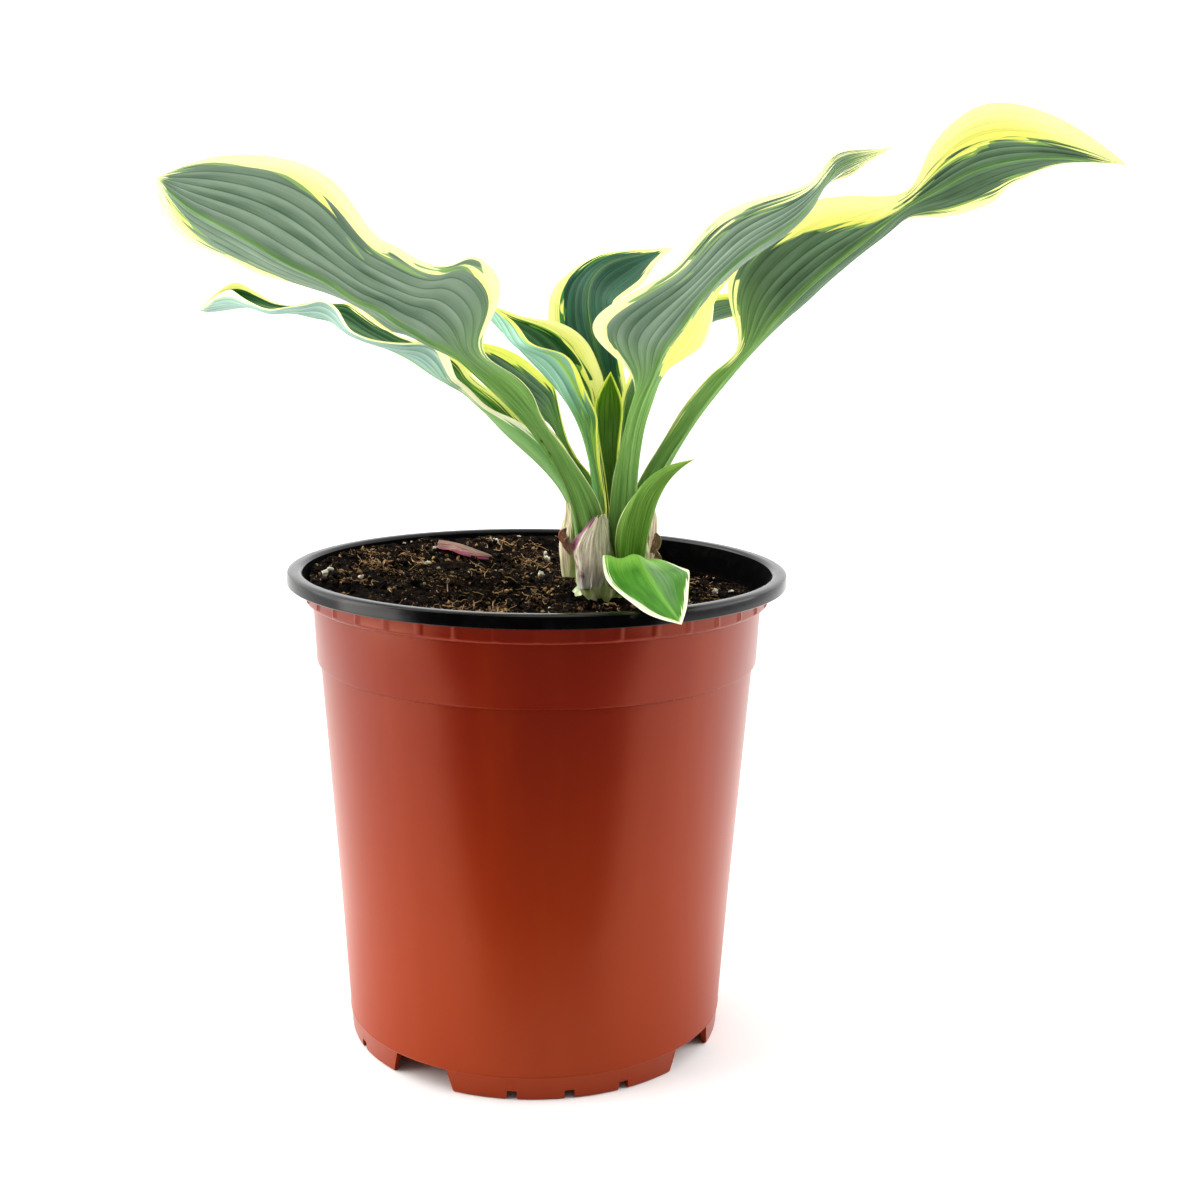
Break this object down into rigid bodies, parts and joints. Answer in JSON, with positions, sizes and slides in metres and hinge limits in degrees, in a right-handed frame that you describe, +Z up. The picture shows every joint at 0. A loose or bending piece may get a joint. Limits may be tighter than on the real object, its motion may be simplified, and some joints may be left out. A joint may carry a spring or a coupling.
{
  "type": "potted hosta plant",
  "caption": "Variegated hosta with long-stalked, broad pointed leaves, growing from a sheathed crown in a round tapered nursery pot with a rolled rim and drainage arches.",
  "frame": {"origin": "centre of the pot's base, on the surface it stands on", "axes": "+Z up along the pot's axis, -Y towards the side where the small leaf hangs over the rim, +X towards the longest leaf"},
  "size_m": [0.301, 0.1736, 0.308],
  "materials": {
    "pot_plastic": "satin moulded plastic, terracotta outside and black inside",
    "peat": "loose damp peat with fibres and perlite specks",
    "crown_skin": "smooth pale green and cream skin",
    "leaf": "grey-green waxy blade with a cream to yellow margin",
    "bract": "fresh green with paler stripes",
    "young_leaf": "light green blade with a narrow cream margin",
    "paper_scale": "dry papery scale, beige with a purple-pink edge",
    "brown_scale": "curled dry brown scale",
    "fallen_bract": "withered pinkish brown bract",
    "perlite": "white porous grain"
  },
  "bodies": {
    "root": {"nursery_pot": "pot_plastic", "potting_soil": "peat", "crown_and_roots": "crown_skin", "leaf_upper_left": "leaf", "leaf_lower_left": "leaf", "leaf_small_left": "leaf", "leaf_centre_left": "leaf", "leaf_back": "leaf", "leaf_centre_right": "leaf", "leaf_right": "leaf", "leaf_back_right": "leaf", "leaf_young_spear": "leaf", "bract_front_right": "bract", "leaf_over_rim": "young_leaf", "sheath_front": "paper_scale", "sheath_left": "paper_scale", "sheath_right": "paper_scale", "scale_brown": "brown_scale", "bract_fallen": "fallen_bract", "perlite_grain_1": "perlite", "perlite_grain_2": "perlite", "perlite_grain_3": "perlite", "perlite_grain_4": "perlite", "perlite_grain_5": "perlite", "perlite_grain_6": "perlite"}
  },
  "joints": []
}
